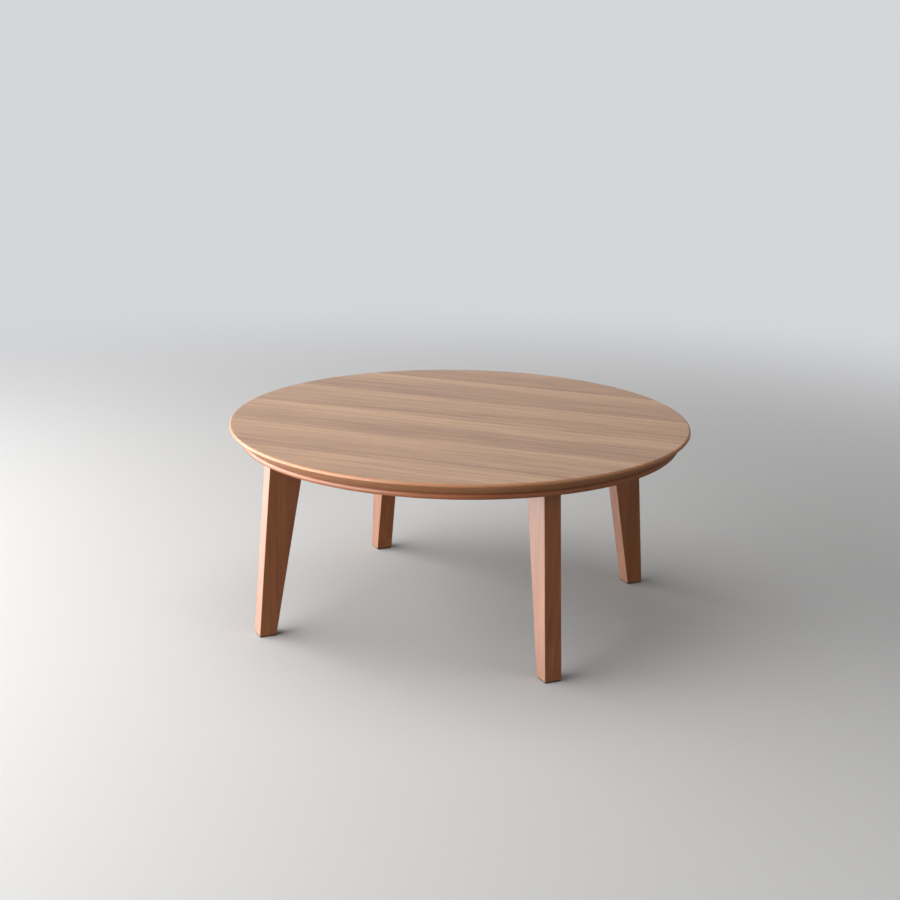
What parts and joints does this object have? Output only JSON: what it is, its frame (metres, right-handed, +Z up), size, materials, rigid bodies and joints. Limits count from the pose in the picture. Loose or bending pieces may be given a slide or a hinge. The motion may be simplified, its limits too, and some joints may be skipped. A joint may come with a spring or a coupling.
{
  "type": "kotatsu table",
  "caption": "Low round wooden table on splayed tapered legs, with a lift-off veneered top and an electric fan heater hung in the frame beneath it.",
  "frame": {"origin": "on the floor, under the middle of the round top", "axes": "+Z up; the frame's rails and the veneer's grain follow X and Y, grain along X; the legs stand on the diagonals"},
  "size_m": [0.9, 0.9, 0.39],
  "materials": {
    "walnut_veneer": "straight-grained walnut veneer, satin lacquer",
    "walnut_edge": "solid wood stained to walnut, satin lacquer",
    "walnut_lipping": "walnut-stained wood strip, satin lacquer",
    "core_board": "bare fibreboard",
    "backing_sheet": "brown backing paper, matt",
    "frame_plywood": "plywood, thin brown stain",
    "frame_wood": "planed softwood, thin brown stain",
    "leg_wood": "solid wood stained to walnut, satin lacquer",
    "pad_felt": "dark brown felt",
    "bumper_rubber": "matt rubber",
    "zinc_steel": "bright zinc plate",
    "black_screws": "black oxide",
    "insert_brass": "plain brass",
    "pan_steel": "galvanised sheet",
    "bezel_plastic": "fine-textured dark brown plastic",
    "guard_paint": "dark brown flocked wire net",
    "reflector_aluminium": "bright rolled sheet",
    "quartz": "milky quartz",
    "core_metal": "plain drawn metal",
    "ceramic": "unglazed white ceramic",
    "motor_case": "grey enamel",
    "fan_plastic": "moulded, heat-proof plastic",
    "thermostat_case": "pressed cap",
    "terminal_plastic": "off-white plastic",
    "inlet_plastic": "dark brown plastic",
    "lead_sleeve": "off-white silicone sleeve"
  },
  "bodies": {
    "frame": {"frame_lipping": "walnut_lipping", "frame_board_front": "frame_plywood", "frame_board_right": "frame_plywood", "frame_board_back": "frame_plywood", "frame_board_left": "frame_plywood", "frame_rail_front": "frame_wood", "frame_rail_right": "frame_wood", "frame_rail_back": "frame_wood", "frame_rail_left": "frame_wood", "corner_block_front_right": "frame_wood", "corner_block_back_right": "frame_wood", "corner_block_back_left": "frame_wood", "corner_block_front_left": "frame_wood", "cross_batten_front": "frame_wood", "cross_batten_back": "frame_wood", "leg_front_right": "leg_wood", "leg_back_right": "leg_wood", "leg_back_left": "leg_wood", "leg_front_left": "leg_wood", "foot_pad_front_right": "pad_felt", "foot_pad_back_right": "pad_felt", "foot_pad_back_left": "pad_felt", "foot_pad_front_left": "pad_felt", "top_bumpers": "bumper_rubber", "board_screws": "zinc_steel", "heater_screws": "zinc_steel", "leg_bolts": "zinc_steel", "leg_washers": "zinc_steel", "guard_screws": "black_screws", "leg_inserts": "insert_brass", "motor_bush": "insert_brass", "inlet_pins": "insert_brass", "heater_pan": "pan_steel", "motor_bracket": "pan_steel", "tube_clips": "pan_steel", "heater_bezel": "bezel_plastic", "heater_guard": "guard_paint", "reflector": "reflector_aluminium", "quartz_tube": "quartz", "heating_core": "core_metal", "tube_caps": "ceramic", "thermal_fuse": "ceramic", "fan_motor": "motor_case", "thermostat": "thermostat_case", "terminal_block": "terminal_plastic", "cord_inlet": "inlet_plastic", "heater_leads": "lead_sleeve"},
    "tabletop": {"top_veneer": "walnut_veneer", "top_core": "core_board", "top_backing": "backing_sheet", "top_edge_front": "walnut_edge", "top_edge_right": "walnut_edge", "top_edge_back": "walnut_edge", "top_edge_left": "walnut_edge"},
    "fan": {"fan_impeller": "fan_plastic", "motor_shaft": "core_metal", "motor_rotor": "motor_case"}
  },
  "joints": [
    {"name": "tabletop_lift", "type": "slide", "parent": "frame", "child": "tabletop", "axis": [0, 0, 1], "range_m": [0, 0.15]},
    {"name": "fan_spin", "type": "hinge", "parent": "frame", "child": "fan", "pos_m": [0, 0, 0.347], "axis": [0, 0, 1], "continuous": true}
  ]
}
